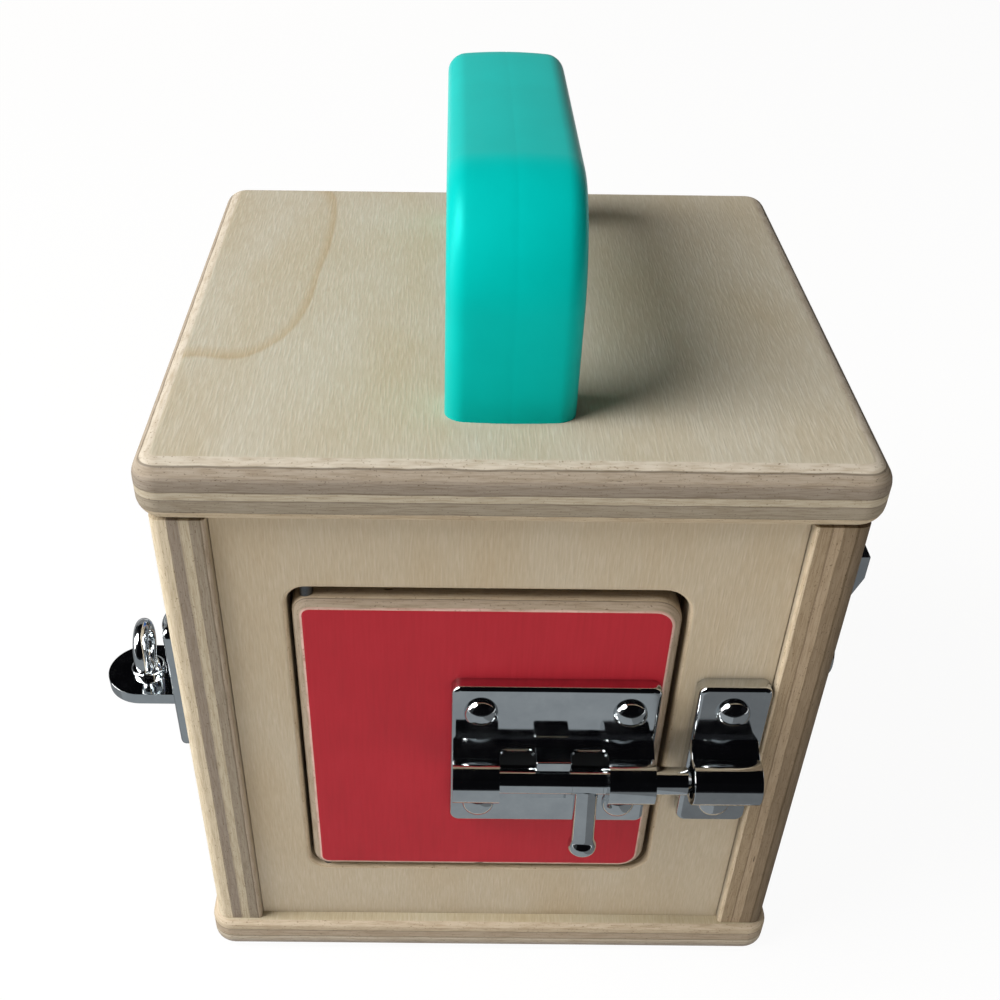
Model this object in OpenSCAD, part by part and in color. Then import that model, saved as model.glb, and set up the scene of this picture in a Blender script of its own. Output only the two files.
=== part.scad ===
// Wooden lock box toy: a birch plywood box with a moulded carry handle and a hinged door on each
// of its four sides. Every door has its own metal fastening: a barrel bolt, a hasp with a turning
// ring, a lever catch and a turn button. Millimetres, +Z up, front towards -Y, origin at the
// centre of the underside of the base.

/* [Box] */
// Width over the side walls
body_w = 150; // [148:1:200]
// Depth over the side walls
body_d = 142; // [140:1:200]
// Height of the walls between base and top
wall_h = 135.5; // [130:0.5:180]
// Thickness of walls and panels
wall_t = 12; // [11:0.5:14]
// Rounding of the upright edges of the side walls
wall_edge_r = 2.5; // [1:0.1:4]
// How far the front and back panels sit behind the edges of the side walls
panel_recess = 2.2; // [1:0.1:3]
// Thickness of the base
base_t = 11; // [9:0.5:15]
// How far the base stands out beyond the walls
base_overhang = 2; // [1:0.1:6]
// Thickness of the top
top_t = 14.5; // [12:0.5:20]
// How far the top stands out beyond the walls
top_overhang = 2.2; // [0.5:0.1:6]
// Plan radius of the corners of base and top
board_corner_r = 6; // [5.5:0.5:9]
// Rounding of the base's lower edges
base_low_r = 4; // [1:0.1:5]
// Rounding of the base's upper edges
base_high_r = 2; // [1:0.1:3.5]
// Rounding of the top's edges
top_edge_r = 5; // [1:0.1:5.4]
// Diameter of the dowels between walls and boards
dowel_d = 6; // [4:0.5:7]
// Depth of a dowel in a wall
dowel_in_wall = 12; // [8:0.5:14]
// Depth of a dowel in a board
dowel_in_board = 6; // [4:0.5:7]
// Distance of a dowel from the wall's front or back edge
dowel_inset = 16; // [10:1:20]

/* [Handle] */
// Overall length of the handle, front to back
handle_l = 111; // [90:1:130]
// Height of the handle above the top
handle_h = 48; // [35:0.5:60]
// Width of the grip
handle_w = 27.8; // [20:0.2:34]
// Thickness of the grip
handle_t = 13; // [11:0.5:16]
// Inside radius of the bends
handle_bend_r = 11; // [4:0.5:18]
// Rounding of the grip's long edges
handle_edge_r = 3.5; // [1:0.1:5]
// Diameter of the handle screws
handle_screw_d = 4; // [3:0.5:5]
// Depth of the screws in the handle
handle_screw_in = 14; // [8:1:20]

/* [Doors] */
// Width of a side door
door_w = 87; // [80:0.5:88]
// Height of a door
door_h = 91.8; // [84:0.2:94]
// Thickness of a door
door_t = 10; // [8:0.5:11]
// How far a closed door stands proud of the wall
door_proud = 1; // [0.5:0.1:1.5]
// Radius of a door's corners at its hinge edge
door_corner_r = 4.2; // [4:0.1:6]
// Radius of a door's corners at its lock edge
door_lock_r = 6.4; // [5:0.1:9]
// Radius of an opening's corners at the hinges, small enough for the swinging door to pass
opening_corner_r = 4.5; // [3:0.1:4.6]
// Radius of an opening's corners at the lock
opening_lock_r = 6.2; // [4:0.1:6.4]
// Rounding of a door's edges
door_edge_r = 3; // [1:0.1:3.4]
// Gap beside the hinge edge
gap_hinge = 0.9; // [0.8:0.1:1.6]
// Gap beside the lock edge
gap_lock = 1.2; // [1.2:0.1:3]
// Gap above the door
gap_top = 2.8; // [1:0.1:3]
// Gap below the door
gap_bottom = 1.2; // [0.8:0.1:2]
// Height of the opening above the base
sill_h = 20.2; // [15:0.2:24]
// Width of the stile on the lock side of the front and back openings
lock_stile = 22.2; // [22:0.1:24]
// Width of the stile on the hinge side of the front and back openings
hinge_stile = 14.7; // [12:0.1:20]
// Width of the stile on the lock side of the side openings
side_stile = 29.4; // [26:0.2:32]
// Distance of the pivot from the hinge edge and from the door's face
pivot_inset = 3.5; // [3.2:0.1:3.8]
// Diameter of the pivot pins
pin_d = 3; // [2.4:0.1:3.2]
// Depth of a pin in the door
pin_in_door = 8; // [5:0.5:12]
// Depth of a pin in the wall
pin_in_wall = 8; // [5:0.5:11]

/* [Barrel bolt] */
// Length of the bolt's plate
bolt_plate_w = 48.6; // [46:0.2:60]
// Height of the bolt's plate and of the keeper
bolt_plate_h = 46; // [42:0.5:50]
// Thickness of the bolt's plate
bolt_plate_t = 3.6; // [2.5:0.1:4.5]
// Corner radius of the fittings' plates
plate_corner_r = 2.4; // [2:0.1:4]
// Rounding of the fittings' front edges
plate_edge_r = 1.2; // [0.5:0.1:1.8]
// Distance of the plate from the door's lock edge
bolt_inset = 2.7; // [2:0.1:6]
// Height of the rod above the door's lower edge
bolt_up = 45.7; // [38:0.1:52]
// Rise of the plate's middle above the rod
bolt_rise = 0.7; // [0:0.1:2]
// Diameter of the rod
rod_d = 6.7; // [5:0.1:7]
// Distance of the rod's axis from the plate
rod_standoff = 6; // [5.2:0.1:6.6]
// Wall of the collars around the rod
collar_wall = 2.3; // [1.6:0.1:2.6]
// Length of a collar
collar_l = 10.9; // [8:0.1:12]
// Rise of the sloping shelf above the rod, at the plate
shelf_rise = 7.4; // [6.6:0.1:9]
// Fall of the shelf from the plate to the barrel, in degrees
shelf_fall = 25; // [16:1:26]
// Thickness of the shelf
shelf_t = 1.5; // [1:0.1:1.6]
// Width of the middle tab
tab_w = 8.4; // [6:0.1:9]
// Reach of the middle tab in front of the rod's axis
tab_reach = 0.2; // [0:0.1:1.5]
// Gap between the tab and the knob
tab_gap = 1; // [0.3:0.1:1.5]
// Diameter of the bolt's knob
knob_d = 6; // [5:0.1:6.2]
// Length of the knob from the rod's axis
knob_l = 21.5; // [20:0.5:34]
// Lean of the hanging knob away from the door, as it rests
knob_hang = 12; // [0:1:20]
// Widening of the knob's tip
knob_flare = 0.7; // [0.2:0.1:1.2]
// Play of the knob to the collar with the bolt thrown
knob_play = 1.8; // [1.6:0.1:2.2]
// Width of the keeper
keeper_w = 17.2; // [15:0.2:17.6]
// Distance of the keeper from the opening
keeper_inset = 4.4; // [2.4:0.1:4.4]
// Thickness of the keeper's plate
keeper_t = 4; // [3:0.1:4.6]
// Bore of the keeper's loop
keeper_bore = 8.4; // [8:0.1:8.8]
// Chamfer of the rod's nose
nose_chamfer = 0.8; // [0.4:0.1:1.4]
// Length of the knob's hub on the rod
hub_l = 7.3; // [6.4:0.1:7.8]
// Diameter of the rod's core inside the hub
core_d = 3.2; // [2.4:0.1:4]
// Distance of the collars and of the rod's tail from the plate's ends
loop_inset = 0.6; // [0.4:0.1:1.2]
// Distance of the bolt's nose from the keeper at rest
nose_gap = 0.3; // [0.2:0.1:0.6]

/* [Screws] */
// Diameter of the domed screw heads
head_d = 8; // [6:0.1:8.4]
// Height of the domed screw heads
head_h = 2.2; // [1.2:0.1:2.3]
// Height of the bolt's and the keeper's screw heads
bolt_head_h = 3; // [1.4:0.1:3.2]
// Diameter of the screws' shanks
shank_d = 2.6; // [2:0.1:3.2]
// Depth of the screws in the wood
screw_in = 7; // [4:0.5:8]
// Distance of the bolt's screws, along the rod
bolt_screw_x = 34.6; // [30:0.2:36]
// Distance of the bolt's and the keeper's screws, up and down
bolt_screw_z = 30.8; // [29:0.2:33]

/* [Hasp] */
// Width of the staple's plate
staple_w = 20; // [19:0.5:22]
// Height of the staple's plate
staple_h = 38; // [36:0.5:44]
// Thickness of the staple's plate
staple_t = 4; // [2:0.1:4.2]
// Distance of the side fittings' plates from the opening
staple_inset = 1; // [0.5:0.1:4]
// Height of the plate's middle above the sill
staple_up = 57.8; // [50:0.2:64]
// Reach of the tongue from the wall
tongue_reach = 21.4; // [20:0.2:26]
// Width of the tongue
tongue_w = 18; // [16:0.2:18.4]
// Thickness of the tongue
tongue_t = 3.2; // [2:0.1:3.6]
// Height of the plate's middle above the tongue's upper face
tongue_drop = 1.6; // [1:0.1:4]
// Distance of the ring's axis from the wall
ring_reach = 11.5; // [11.4:0.1:13]
// Radius of the ring at the middle of its wire
ring_r = 5.3; // [4:0.1:5.5]
// Diameter of the ring's wire
ring_wire = 3.6; // [3:0.1:4]
// How far the ring's wire is sunk into its foot
ring_sink = 1.1; // [0.8:0.1:1.5]
// Turn of the ring out of the line of the wall, as it rests
ring_rest = -3; // [-3:1:30]
// Diameter of the ring's stem
stem_d = 6; // [4:0.1:6.6]
// Diameter of the ring's foot and of the rivet below the tongue
foot_d = 8.4; // [7.6:0.1:9]
// Height of the foot above the tongue
foot_h = 1.4; // [0.5:0.1:1.5]
// Height of the rivet below the tongue
rivet_h = 2.2; // [1.2:0.1:2.6]
// Height of the hasp
hasp_h = 36; // [34:0.5:38]
// Height of the staple's middle above the hasp's middle
hasp_drop = 1.8; // [1.4:0.1:2.6]
// Thickness of the hasp's sheet
hasp_t = 1.5; // [1.2:0.1:1.6]
// Length of the hasp's plate on the door
hasp_plate_l = 28; // [26:0.5:32]
// Length of the swinging leaf from the hinge
leaf_l = 32; // [31:0.5:36]
// Distance of the hinge from the door's lock edge
hasp_inset = 4.4; // [3.2:0.1:5]
// Radius of the hinge knuckles
knuckle_r = 2.2; // [2:0.1:2.3]
// Diameter of the hinge pin
hasp_pin_d = 2; // [1.6:0.1:2.2]
// Length of the leaf's knuckle
leaf_knuckle_l = 13.6; // [10:0.2:16]
// Room around the tongue and the ring in the leaf's slot
slot_room = 1; // [0.8:0.1:1.4]

/* [Lever catch] */
// Thickness of the lever's plate
lever_plate_t = 2; // [1.5:0.1:3]
// Height of the lever's pivot above the plate's middle
lever_rise = 8; // [6:0.2:11]
// Length of the lever from its pivot
lever_l = 32; // [24:0.2:34]
// Width of the lever
lever_w = 11; // [9:0.2:12]
// Thickness of the lever
lever_t = 2.4; // [2:0.1:3]
// How far the lever's tip flares out
lever_flare = 2; // [1:0.1:4]
// Diameter of the lever's pivot
lever_pin_d = 4; // [3:0.1:5]
// Distance of the plate's two screws
lever_screw_x = 9; // [8.5:0.1:11]
// Height of those screws above the plate's lower edge
lever_screw_z = 6; // [5:0.1:8]

/* [Turn button] */
// Overall length of the button
button_l = 36; // [30:0.5:40]
// Width of the button
button_w = 13; // [10:0.5:16]
// Thickness of the button
button_t = 4; // [3:0.1:5]
// Distance of the button's pivot from the opening
button_inset = 9.8; // [8:0.2:11]
// Height of the button's pivot above the sill
button_up = 46; // [36:0.5:56]
// Width of the thumb ridge
ridge_w = 3; // [2:0.1:4]
// Height of the thumb ridge
ridge_h = 2.4; // [1:0.1:4]
// Diameter of the button's pivot screw
button_pin_d = 4; // [3:0.1:4.4]

/* [Fits] */
// Running clearance of pins in their bores, on the radius
run_gap = 0.05; // [0.02:0.01:0.1]
// Clearance between faces that move past each other
slide_gap = 0.3; // [0.2:0.05:0.5]
// Clearance of a screw in its hole, on the radius
screw_gap = 0.05; // [0.02:0.01:0.2]

/* [Hidden] */
$fn = 64;
soft_fn = 32;
birch = "#D8C8A6";
edge_birch = "#C9B592";
beech = "#CDAA78";
chrome = "#B9BEC2";
steel = "#9EA3A7";

panel_w = body_w - 2 * wall_t;
panel_y = body_d / 2 - panel_recess;
sill_z = base_t + sill_h;
wall_top = base_t + wall_h;
front_door_w = panel_w - lock_stile - hinge_stile - gap_hinge - gap_lock;
open_h = door_h + gap_bottom + gap_top;
front_lock_x = panel_w / 2 - lock_stile;
side_lock_y = body_d / 2 - side_stile;

function pivot_x(w) = pivot_inset - w - gap_lock;
pivot_y = pivot_inset - door_proud;

bolt_z = gap_bottom + bolt_up;
bolt_face = -door_proud - bolt_plate_t;
rod_y = bolt_face - rod_standoff;
bolt_right = -gap_lock - bolt_inset;
bolt_left = bolt_right - bolt_plate_w;
collar_r = rod_d / 2 + collar_wall;
collar_face = bolt_right - loop_inset - collar_l;
collar_end = bolt_left + loop_inset + collar_l;
knob_x = collar_face - knob_play - knob_d / 2;
tab_right = knob_x - knob_d / 2 - tab_gap;
keeper_x = keeper_inset + keeper_w / 2;
nose_x = keeper_inset - nose_gap;
recess_r = 2;
recess_strip = 2;
lip_drop = 10.5;
lip_reach = rod_standoff - knob_d / 2 - slide_gap - 0.2;

staple_x = staple_inset + staple_w / 2;
tongue_up = staple_up - tongue_drop;
hasp_up = staple_up - hasp_drop;
lever_up = staple_up + lever_rise;
ring_up = foot_h + ring_r + ring_wire / 2 - ring_sink;
hinge_x = -gap_lock - hasp_inset;
leaf_y = -door_proud - hasp_t - head_h - slide_gap;
hinge_y = leaf_y + slide_gap;
slot_mid = staple_x - hinge_x;
knuckle_gap = 0.2;

lever_y = -lever_plate_t - slide_gap;
washer_t = panel_recess + slide_gap;

// Each opening has a frame of its own: x = 0 at its lock edge and growing away from the door,
// y = 0 at the wall's face and growing into the box, z = 0 at its sill.
module at_front() { translate([front_lock_x, -panel_y, sill_z]) children(); }
module at_back() { translate([-front_lock_x, panel_y, sill_z]) rotate([0, 0, 180]) children(); }
module at_left() { translate([-body_w / 2, -side_lock_y, sill_z]) rotate([0, 0, -90]) children(); }
module at_right() { mirror([1, 0, 0]) at_left() children(); }

// Points of a quarter round about (x, y), from angle a onwards
function quarter(x, y, r, a) = [for (i = [0:6]) [x + r * cos(a + 15 * i), y + r * sin(a + 15 * i)]];

// Rectangle with round corners, about its middle
module round_rect(w, h, r) {
    square([w - 2 * r, h], center = true);
    square([w, h - 2 * r], center = true);
    for (sx = [-1, 1], sy = [-1, 1]) translate([sx * (w / 2 - r), sy * (h / 2 - r)]) circle(r);
}

// The same with a radius of its own for the two corners on the right
module round_rect_two(w, h, r, right_r) {
    translate([r - w / 2, -h / 2]) square([w - r - right_r, h]);
    translate([-w / 2, r - h / 2]) square([w / 2, h - 2 * r]);
    translate([0, right_r - h / 2]) square([w / 2, h - 2 * right_r]);
    for (sy = [-1, 1]) {
        translate([r - w / 2, sy * (h / 2 - r)]) circle(r);
        translate([w / 2 - right_r, sy * (h / 2 - right_r)]) circle(right_r);
    }
}

// Board w by h with round corners, lying on z = 0, with its lower and upper edges rounded
module soft_corner(t, corner, low, high) {
    rotate_extrude($fn = soft_fn)
        polygon(concat([[0, 0]], quarter(corner - low, low, low, -90),
            quarter(corner - high, t - high, high, 0), [[0, t]]));
}
module soft_board(w, h, t, corner, low, high) {
    hull() for (sx = [-1, 1], sy = [-1, 1])
        translate([sx * (w / 2 - corner), sy * (h / 2 - corner), 0]) soft_corner(t, corner, low, high);
}

// The same board standing against a wall, its upper face outwards, back face at y = 0
module soft_plate(w, h, t, corner, low, high) {
    rotate([90, 0, 0]) soft_board(w, h, t, corner, low, high);
}

// Round bar along x, along y outwards from the wall, or up
module bar_x(x0, x1, d) { translate([x0, 0, 0]) rotate([0, 90, 0]) cylinder(d = d, h = x1 - x0); }
module bar_out(y0, y1, d) { translate([0, y0, 0]) rotate([90, 0, 0]) cylinder(d = d, h = y0 - y1); }

// Part of a ball: a dome of diameter d and height h on z = 0
module dome(d, h) {
    ball_r = (d * d / 4 + h * h) / (2 * h);
    intersection() {
        translate([0, 0, h - ball_r]) sphere(ball_r);
        cylinder(d = d, h = h);
    }
}

// Domed screw through a plate whose face is at y = face, into the wood behind y = wood
module screw(face, wood, rise = head_h) {
    translate([0, face, 0]) rotate([90, 0, 0]) dome(head_d, rise);
    bar_out(wood + screw_in, face, shank_d);
}
module screw_hole(face, wood) {
    bar_out(wood + screw_in, face - 1, shank_d + 2 * screw_gap);
}

// Doorway cut through a wall, with the seats of the two pivot pins
module doorway(w) {
    open_w = w + gap_hinge + gap_lock;
    translate([-open_w / 2, wall_t + 1, open_h / 2])
        rotate([90, 0, 0]) linear_extrude(wall_t + 2)
            round_rect_two(open_w, open_h, opening_corner_r, opening_lock_r);
    translate([pivot_x(w), pivot_y, -pin_in_wall]) cylinder(d = pin_d, h = open_h + 2 * pin_in_wall);
}

// Door with its pivot bores, closed in its opening
module door(w) {
    difference() {
        translate([-gap_lock, door_t - door_proud, gap_bottom + door_h / 2]) rotate([90, 0, 0])
            hull() for (sy = [-1, 1]) {
                translate([door_corner_r - w, sy * (door_h / 2 - door_corner_r), 0])
                    soft_corner(door_t, door_corner_r, door_edge_r, door_edge_r);
                translate([-door_lock_r, sy * (door_h / 2 - door_lock_r), 0])
                    soft_corner(door_t, door_lock_r, door_edge_r, door_edge_r);
            }
        for (z = [gap_bottom - 1, gap_bottom + door_h - pin_in_door - slide_gap])
            translate([pivot_x(w), pivot_y, z])
                cylinder(d = pin_d + 2 * run_gap, h = pin_in_door + slide_gap + 1);
    }
}

module door_pins(w) {
    for (z = [-pin_in_wall, gap_bottom + door_h - pin_in_door])
        translate([pivot_x(w), pivot_y, z])
            cylinder(d = pin_d, h = pin_in_wall + pin_in_door + (z < 0 ? gap_bottom : gap_top));
}

// Places of the dowels of one wall
module dowel_spots() {
    for (sx = [-1, 1], sy = [-1, 1])
        translate([sx * (body_w - wall_t) / 2, sy * (body_d / 2 - dowel_inset), 0]) children();
}
module base_dowel_set() {
    dowel_spots() translate([0, 0, base_t - dowel_in_board])
        cylinder(d = dowel_d, h = dowel_in_board + dowel_in_wall);
}
module top_dowel_set() {
    dowel_spots() translate([0, 0, wall_top - dowel_in_wall])
        cylinder(d = dowel_d, h = dowel_in_board + dowel_in_wall);
}

// Handle screws, grown by a gap to make their holes
module handle_screw_set(gap) {
    for (sy = [-1, 1]) translate([0, sy * (handle_l - handle_t) / 2, wall_top]) {
        translate([0, 0, -gap]) cylinder(d = head_d + 2 * gap, h = head_h + gap);
        cylinder(d = handle_screw_d + 2 * gap, h = top_t + handle_screw_in);
    }
}

module base_board() {
    color(birch) difference() {
        soft_board(body_w + 2 * base_overhang, body_d + 2 * base_overhang, base_t,
            board_corner_r, base_low_r, base_high_r);
        base_dowel_set();
    }
}

module top_board() {
    color(birch) difference() {
        translate([0, 0, wall_top])
            soft_board(body_w + 2 * top_overhang, body_d + 2 * top_overhang, top_t,
                board_corner_r, top_edge_r, top_edge_r);
        top_dowel_set();
        handle_screw_set(screw_gap);
    }
}

// Left wall without the holes for its fittings
module side_wall() {
    difference() {
        translate([(wall_t - body_w) / 2, 0, base_t]) linear_extrude(wall_h)
            round_rect(wall_t, body_d, wall_edge_r);
        at_left() doorway(door_w);
        base_dowel_set();
        top_dowel_set();
    }
}

module left_wall() {
    color(birch) difference() {
        side_wall();
        at_left() staple_spots() screw_hole(0, 0);
    }
}

module right_wall() {
    color(birch) difference() {
        mirror([1, 0, 0]) side_wall();
        at_right() lever_spots() screw_hole(0, 0);
        at_right() lever_spot() bar_out(screw_in, -1, lever_pin_d + 2 * screw_gap);
    }
}

// Panel between the side walls, drawn as the front one
module panel() {
    difference() {
        translate([-panel_w / 2, -panel_y, base_t]) cube([panel_w, wall_t, wall_h]);
        at_front() doorway(front_door_w);
    }
}

module front_panel() {
    color(birch) difference() {
        panel();
        at_front() keeper_spots() screw_hole(0, 0);
    }
}

module back_panel() {
    color(birch) difference() {
        rotate([0, 0, 180]) panel();
        at_back() button_spot() bar_out(screw_in, -1, button_pin_d + 2 * screw_gap);
    }
}

module base_dowels() { color(beech) base_dowel_set(); }
module top_dowels() { color(beech) top_dowel_set(); }

// Cross section of the grip, across the handle's width and thickness
module grip_section() { round_rect(handle_w, handle_t, handle_edge_r); }

// One half of the handle: a leg, a bend and half of the bar
module half_handle() {
    bend_y = handle_l / 2 - handle_t - handle_bend_r;
    bend_z = handle_h - handle_t - handle_bend_r;
    translate([0, handle_l / 2 - handle_t / 2, 0]) linear_extrude(bend_z) grip_section();
    translate([0, bend_y, bend_z]) rotate([0, -90, 0])
        rotate_extrude(angle = 90) translate([handle_bend_r + handle_t / 2, 0]) rotate(90) grip_section();
    translate([0, bend_y, handle_h - handle_t / 2]) rotate([90, 0, 0])
        linear_extrude(bend_y) grip_section();
}

module carry_handle() {
    color("#12B5AE") difference() {
        translate([0, 0, wall_top + top_t]) {
            half_handle();
            mirror([0, 1, 0]) half_handle();
        }
        handle_screw_set(screw_gap);
    }
}

module handle_screws() { color(steel) handle_screw_set(0); }

// Places of the bolt's four screws, of the keeper's two and of the side fittings' ones
module bolt_spots() {
    for (sx = [-1, 1], sz = [-1, 1])
        translate([(bolt_left + bolt_right + sx * bolt_screw_x) / 2, 0,
            bolt_z + bolt_rise + sz * bolt_screw_z / 2]) children();
}
module keeper_spots() {
    for (sz = [-1, 1])
        translate([keeper_x, 0, bolt_z + bolt_rise + sz * bolt_screw_z / 2]) children();
}
module staple_spots() {
    for (sz = [-1, 1])
        translate([staple_x, 0, staple_up + sz * (staple_h / 2 - head_d / 2 - 2)]) children();
}
module hasp_spots() {
    for (sz = [-1, 1])
        translate([hinge_x - hasp_plate_l + head_d, 0, hasp_up + sz * (hasp_h / 2 - head_d / 2 - 2)])
            children();
}
module lever_spots() {
    for (sx = [-1, 1])
        translate([staple_x + sx * lever_screw_x / 2, 0, staple_up - staple_h / 2 + lever_screw_z])
            children();
}
module lever_spot() { translate([staple_x, 0, lever_up]) children(); }
module button_spot() { translate([button_inset, 0, button_up]) children(); }

module front_door() {
    color("#A32B34") difference() {
        at_front() door(front_door_w);
        at_front() bolt_spots() screw_hole(-door_proud, -door_proud);
    }
}
module left_door() {
    color("#2F5C9A") difference() {
        at_left() door(door_w);
        at_left() hasp_spots() screw_hole(-door_proud, -door_proud);
    }
}
module right_door() { color("#E0A52E") at_right() door(door_w); }
module back_door() { color("#3C8A58") at_back() door(front_door_w); }

module front_door_pins() { color(steel) at_front() door_pins(front_door_w); }
module left_door_pins() { color(steel) at_left() door_pins(door_w); }
module right_door_pins() { color(steel) at_right() door_pins(door_w); }
module back_door_pins() { color(steel) at_back() door_pins(front_door_w); }

// Solid around the rod, from the plate's face out, with its sloping top
module barrel(x0, x1, face) {
    translate([0, rod_y, bolt_z]) bar_x(x0, x1, 2 * collar_r);
    translate([x0, 0, bolt_z]) rotate([90, 0, 90]) linear_extrude(x1 - x0)
        polygon([[face, -collar_r], [face, shelf_rise],
            [rod_y, shelf_rise - (face - rod_y) * tan(shelf_fall)], [rod_y, -collar_r]]);
}

// Sloping shelf between the collars, cut back on both sides of its middle tab
module shelf() {
    slope = tan(shelf_fall);
    out = rod_standoff + tab_reach;
    difference() {
        translate([collar_end, 0, bolt_z]) rotate([90, 0, 90])
            linear_extrude(collar_face - collar_end)
                polygon([[bolt_face, shelf_rise - shelf_t], [bolt_face, shelf_rise],
                    [bolt_face - out, shelf_rise - slope * out],
                    [bolt_face - out, shelf_rise - slope * out - shelf_t]]);
        for (side = [[collar_end, tab_right - tab_w], [tab_right, collar_face]])
            translate([(side[0] + side[1]) / 2, bolt_face - recess_strip - out, bolt_z])
                linear_extrude(2 * shelf_rise)
                    round_rect(side[1] - side[0], 2 * out, recess_r);
    }
}

module bolt_case() {
    color(chrome) at_front() difference() {
        union() {
            translate([(bolt_left + bolt_right) / 2, -door_proud, bolt_z + bolt_rise])
                soft_plate(bolt_plate_w, bolt_plate_h, bolt_plate_t, plate_corner_r, 0, plate_edge_r);
            barrel(bolt_left + loop_inset, collar_end, bolt_face);
            barrel(collar_face, bolt_right - loop_inset, bolt_face);
            shelf();
            translate([tab_right - tab_w, bolt_face - lip_reach, bolt_z - lip_drop])
                cube([tab_w, lip_reach + plate_edge_r, shelf_t]);
        }
        translate([0, rod_y, bolt_z]) bar_x(bolt_left - 1, bolt_right + 1, rod_d + 2 * run_gap);
        bolt_spots() screw_hole(bolt_face, -door_proud);
    }
}

module bolt_screws() {
    color(chrome) at_front() bolt_spots() screw(bolt_face, -door_proud, bolt_head_h);
}

// Rod in two lengths on one core, with a turned nose
module bolt_rod() {
    tail_x = bolt_left + loop_inset;
    color(chrome) at_front() translate([0, rod_y, bolt_z]) {
        bar_x(tail_x, knob_x - hub_l / 2 - run_gap, rod_d);
        bar_x(knob_x - hub_l / 2 - 2 * run_gap, knob_x + hub_l / 2 + 2 * run_gap, core_d);
        bar_x(knob_x + hub_l / 2 + run_gap, nose_x - nose_chamfer, rod_d);
        translate([nose_x - nose_chamfer, 0, 0]) rotate([0, 90, 0])
            cylinder(d1 = rod_d, d2 = rod_d - 2 * nose_chamfer, h = nose_chamfer);
    }
}

// Knob hanging from its hub on the rod, a little outwards, with a flared and domed tip
module bolt_knob() {
    flare_h = 4;
    dome_h = 1.5;
    tip_d = knob_d + 2 * knob_flare;
    color(chrome) at_front() translate([knob_x, rod_y, bolt_z]) difference() {
        union() {
            bar_x(-hub_l / 2, hub_l / 2, rod_d);
            rotate([180 - knob_hang, 0, 0]) {
                cylinder(d = knob_d, h = knob_l - flare_h);
                translate([0, 0, knob_l - flare_h - dome_h])
                    cylinder(d1 = knob_d, d2 = tip_d, h = flare_h);
                translate([0, 0, knob_l - dome_h]) dome(tip_d, dome_h);
            }
        }
        bar_x(-hub_l, hub_l, core_d + 2 * run_gap);
    }
}

module keeper() {
    color(chrome) at_front() difference() {
        union() {
            translate([keeper_x, 0, bolt_z + bolt_rise])
                soft_plate(keeper_w, bolt_plate_h, keeper_t, plate_corner_r, 0, plate_edge_r);
            barrel(keeper_inset, keeper_inset + keeper_w - 2 * loop_inset, -keeper_t);
        }
        translate([0, rod_y, bolt_z])
            bar_x(keeper_inset - 1, keeper_inset + keeper_w + 1, keeper_bore);
        translate([keeper_inset - 1, rod_y, bolt_z - keeper_bore / 2])
            cube([keeper_w + 2, -keeper_t - rod_y, keeper_bore]);
        keeper_spots() screw_hole(-keeper_t, 0);
    }
}

module keeper_screws() { color(chrome) at_front() keeper_spots() screw(-keeper_t, 0, bolt_head_h); }

// Plate on the stile with a flat, half-round tongue standing out of it
module staple_plate() {
    color(chrome) at_left() difference() {
        union() {
            translate([staple_x, 0, staple_up])
                soft_plate(staple_w, staple_h, staple_t, plate_corner_r, 0, plate_edge_r);
            translate([staple_x, 0, tongue_up - tongue_t]) linear_extrude(tongue_t) {
                translate([-tongue_w / 2, tongue_w / 2 - tongue_reach])
                    square([tongue_w, tongue_reach - tongue_w / 2 - staple_t / 2]);
                translate([0, tongue_w / 2 - tongue_reach]) circle(d = tongue_w);
            }
        }
        translate([staple_x, -ring_reach, 0]) cylinder(d = stem_d + 2 * run_gap, h = 2 * tongue_up);
        staple_spots() screw_hole(-staple_t, 0);
    }
}

module staple_screws() { color(chrome) at_left() staple_spots() screw(-staple_t, 0); }

// Ring on a foot, with a stem through the tongue and a domed rivet below it
module swivel_ring() {
    seat = run_gap;
    color(chrome) at_left() translate([staple_x, -ring_reach, tongue_up]) {
        translate([0, 0, seat]) cylinder(d = foot_d, h = foot_h);
        translate([0, 0, -tongue_t - 2 * seat]) cylinder(d = stem_d, h = tongue_t + 3 * seat);
        translate([0, 0, -tongue_t - seat]) rotate([180, 0, 0]) dome(foot_d, rivet_h);
        translate([0, 0, ring_up]) rotate([90, 0, -ring_rest])
            rotate_extrude() translate([ring_r, 0]) circle(d = ring_wire);
    }
}

// Half of the hasp's height at its hinge: the leaf's knuckle lies between the base's two
module knuckle(z0, z1) {
    translate([hinge_x, hinge_y, hasp_up + z0]) cylinder(r = knuckle_r, h = z1 - z0);
}

module hasp_base() {
    inner = leaf_knuckle_l / 2 + knuckle_gap;
    ends = [[-hasp_h / 2, -inner], [inner, hasp_h / 2]];
    color(chrome) at_left() difference() {
        union() {
            translate([hinge_x - hasp_plate_l / 2 + knuckle_r, -door_proud, hasp_up])
                soft_plate(hasp_plate_l, hasp_h, hasp_t, knuckle_r, 0, hasp_t / 3);
            for (e = ends) {
                knuckle(e[0], e[1]);
                translate([hinge_x - knuckle_r, hinge_y, hasp_up + e[0]])
                    cube([knuckle_r, -door_proud - hasp_t / 2 - hinge_y, e[1] - e[0]]);
            }
        }
        translate([hinge_x, hinge_y, hasp_up - hasp_h]) cylinder(d = hasp_pin_d, h = 2 * hasp_h);
        translate([hinge_x, hinge_y, hasp_up - inner])
            cylinder(r = knuckle_r + slide_gap, h = 2 * inner);
        hasp_spots() screw_hole(-door_proud - hasp_t, -door_proud);
    }
}

module hasp_screws() { color(chrome) at_left() hasp_spots() screw(-door_proud - hasp_t, -door_proud); }

module hasp_pin() {
    color(steel) at_left() translate([hinge_x, hinge_y, hasp_up - hasp_h / 2])
        cylinder(d = hasp_pin_d, h = hasp_h);
}

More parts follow.
